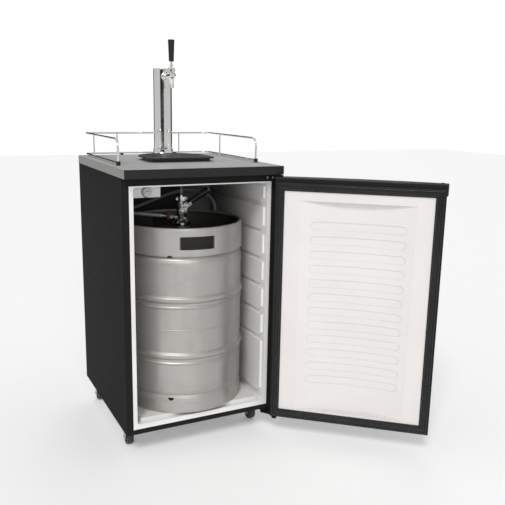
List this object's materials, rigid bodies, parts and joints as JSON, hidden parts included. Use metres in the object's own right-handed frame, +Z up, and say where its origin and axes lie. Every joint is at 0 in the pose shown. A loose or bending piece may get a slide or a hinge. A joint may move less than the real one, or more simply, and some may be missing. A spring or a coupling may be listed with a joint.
{
  "type": "kegerator",
  "caption": "Kegerator: dark refrigerated cabinet on casters with a bowed door standing open, a steel keg with its coupler inside, and a chrome draft tower, rail and drip tray on top.",
  "frame": {"origin": "on the floor, under the middle of the worktop's footprint", "axes": "+X to the right of someone facing the door, +Y to the back, +Z up; the door faces -Y"},
  "size_m": [0.8837, 0.9364, 1.282],
  "materials": {
    "cabinet_paint": "satin, lightly textured",
    "galvanized": "dull zinc",
    "white_plastic": "semi-gloss white",
    "foam": "matte foam",
    "cold_plate": "satin",
    "thermostat_plastic": "matte",
    "dial_plastic": "matte",
    "laminate": "satin laminate",
    "trim_plastic": "satin",
    "chrome": "polished",
    "black_rubber": "matte",
    "black_plastic": "satin",
    "tap_black": "gloss",
    "stainless": "satin brushed",
    "board": "white coated board",
    "red_lever": "satin red",
    "beer_hose": "translucent",
    "gas_hose": "matte grey",
    "zinc": "zinc plated",
    "caster_black": "satin",
    "can_paint": "gloss black",
    "bracket_black": "satin black",
    "bushing": "natural nylon"
  },
  "bodies": {
    "cabinet": {"cabinet_shell": "cabinet_paint", "rear_panel": "galvanized", "base_pan": "galvanized", "inner_liner": "white_plastic", "foam_insulation": "foam", "evaporator_plate": "cold_plate", "thermostat_housing": "thermostat_plastic", "worktop": "laminate", "worktop_trim": "trim_plastic", "guard_rail": "chrome", "rail_feet": "black_rubber", "tower_flange": "chrome", "tower_column": "chrome", "tower_cap": "chrome", "faucet_shank": "chrome", "coupling_nut": "chrome", "faucet_body": "chrome", "keg_board": "board", "beer_line": "beer_hose", "gas_line": "gas_hose", "gas_inlet": "chrome", "upper_hinge_bracket": "bracket_black", "lower_hinge_bracket": "bracket_black", "cabinet_screws": "zinc", "compressor": "can_paint", "compressor_grommets": "black_rubber", "condenser_coil": "can_paint", "power_cord": "black_rubber", "caster_plates": "zinc"},
    "door": {"door_skin": "cabinet_paint", "door_inner_panel": "white_plastic", "door_foam": "foam", "door_gasket": "black_rubber", "door_end_caps": "black_plastic", "door_bushings": "bushing"},
    "tap_lever": {"tap_lever": "chrome", "tap_handle": "tap_black"},
    "faucet_plunger": {"faucet_plunger": "stainless"},
    "drip_tray": {"drip_tray": "black_plastic"},
    "drip_grille": {"drip_grille": "black_plastic"},
    "keg": {"keg_shell": "stainless", "keg_valve": "stainless", "coupler_body": "chrome", "gas_shutoff": "chrome", "gas_clamp": "zinc"},
    "coupler_lever": {"coupler_lever": "chrome", "coupler_grip": "tap_black"},
    "coupler_probe": {"coupler_probe": "stainless", "beer_nut": "chrome"},
    "relief_valve": {"relief_valve": "chrome"},
    "gas_shutoff_lever": {"gas_shutoff_lever": "red_lever"},
    "thermostat_dial": {"thermostat_dial": "dial_plastic"},
    "caster_front_left": {"caster_fork_front_left": "zinc"},
    "wheel_front_left": {"caster_wheel_front_left": "caster_black"},
    "caster_front_right": {"caster_fork_front_right": "zinc"},
    "wheel_front_right": {"caster_wheel_front_right": "caster_black"},
    "caster_rear_left": {"caster_fork_rear_left": "zinc"},
    "wheel_rear_left": {"caster_wheel_rear_left": "caster_black"},
    "caster_rear_right": {"caster_fork_rear_right": "zinc"},
    "wheel_rear_right": {"caster_wheel_rear_right": "caster_black"}
  },
  "joints": [
    {"name": "door_swing", "type": "hinge", "parent": "cabinet", "child": "door", "pos_m": [0.242, -0.2795, 0.466], "axis": [0, 0, 1], "range_deg": [-139.5, 20.5]},
    {"name": "tap_pull", "type": "hinge", "parent": "cabinet", "child": "tap_lever", "pos_m": [0.03, 0.11, 1.183], "axis": [1, 0, 0], "range_deg": [0, 30]},
    {"name": "plunger_slide", "type": "slide", "parent": "cabinet", "child": "faucet_plunger", "axis": [0, 1, 0], "range_m": [0, 0.0075]},
    {"name": "drip_tray_lift", "type": "slide", "parent": "cabinet", "child": "drip_tray", "axis": [0, 0, 1], "range_m": [0, 0.08]},
    {"name": "drip_grille_lift", "type": "slide", "parent": "drip_tray", "child": "drip_grille", "axis": [0, 0, 1], "range_m": [0, 0.06]},
    {"name": "keg_slide", "type": "slide", "parent": "cabinet", "child": "keg", "axis": [0, -1, 0], "range_m": [0, 0.45], "deforming": ["beer_line", "gas_line"]},
    {"name": "coupler_lever_swing", "type": "hinge", "parent": "keg", "child": "coupler_lever", "pos_m": [0.006, -0.063, 0.75], "axis": [0, 1, 0], "range_deg": [0, 55], "stiffness_Nm_per_rad": 0.3, "springref_deg": -34.38},
    {"name": "probe_slide", "type": "slide", "parent": "keg", "child": "coupler_probe", "axis": [0, 0, -1], "range_m": [0, 0.0125], "stiffness_N_per_m": 400, "springref_m": -0.02, "deforming": ["beer_line"]},
    {"name": "relief_pull", "type": "slide", "parent": "keg", "child": "relief_valve", "axis": [0, -1, 0], "range_m": [0, 0.004], "stiffness_N_per_m": 800, "springref_m": -0.002},
    {"name": "gas_shutoff_turn", "type": "hinge", "parent": "keg", "child": "gas_shutoff_lever", "pos_m": [-0.05164, -0.063, 0.72015], "axis": [0, -1, 0], "range_deg": [0, 90]},
    {"name": "thermostat_turn", "type": "hinge", "parent": "cabinet", "child": "thermostat_dial", "pos_m": [-0.168, -0.221, 0.822], "axis": [0, -1, 0], "range_deg": [-150, 120]},
    {"name": "swivel_front_left", "type": "hinge", "parent": "cabinet", "child": "caster_front_left", "pos_m": [-0.218, -0.166, 0.066], "axis": [0, 0, 1], "continuous": true},
    {"name": "roll_front_left", "type": "hinge", "parent": "caster_front_left", "child": "wheel_front_left", "pos_m": [-0.218, -0.146, 0.025], "axis": [1, 0, 0], "continuous": true},
    {"name": "swivel_front_right", "type": "hinge", "parent": "cabinet", "child": "caster_front_right", "pos_m": [0.218, -0.166, 0.066], "axis": [0, 0, 1], "continuous": true},
    {"name": "roll_front_right", "type": "hinge", "parent": "caster_front_right", "child": "wheel_front_right", "pos_m": [0.218, -0.146, 0.025], "axis": [1, 0, 0], "continuous": true},
    {"name": "swivel_rear_left", "type": "hinge", "parent": "cabinet", "child": "caster_rear_left", "pos_m": [-0.218, 0.203, 0.066], "axis": [0, 0, 1], "continuous": true},
    {"name": "roll_rear_left", "type": "hinge", "parent": "caster_rear_left", "child": "wheel_rear_left", "pos_m": [-0.218, 0.223, 0.025], "axis": [1, 0, 0], "continuous": true},
    {"name": "swivel_rear_right", "type": "hinge", "parent": "cabinet", "child": "caster_rear_right", "pos_m": [0.218, 0.203, 0.066], "axis": [0, 0, 1], "continuous": true},
    {"name": "roll_rear_right", "type": "hinge", "parent": "caster_rear_right", "child": "wheel_rear_right", "pos_m": [0.218, 0.223, 0.025], "axis": [1, 0, 0], "continuous": true}
  ],
  "couplings": [
    {"joint": "plunger_slide", "follows": "tap_pull", "m_per_rad": 0.0135},
    {"joint": "probe_slide", "follows": "coupler_lever_swing", "m_per_rad": 0.013}
  ]
}
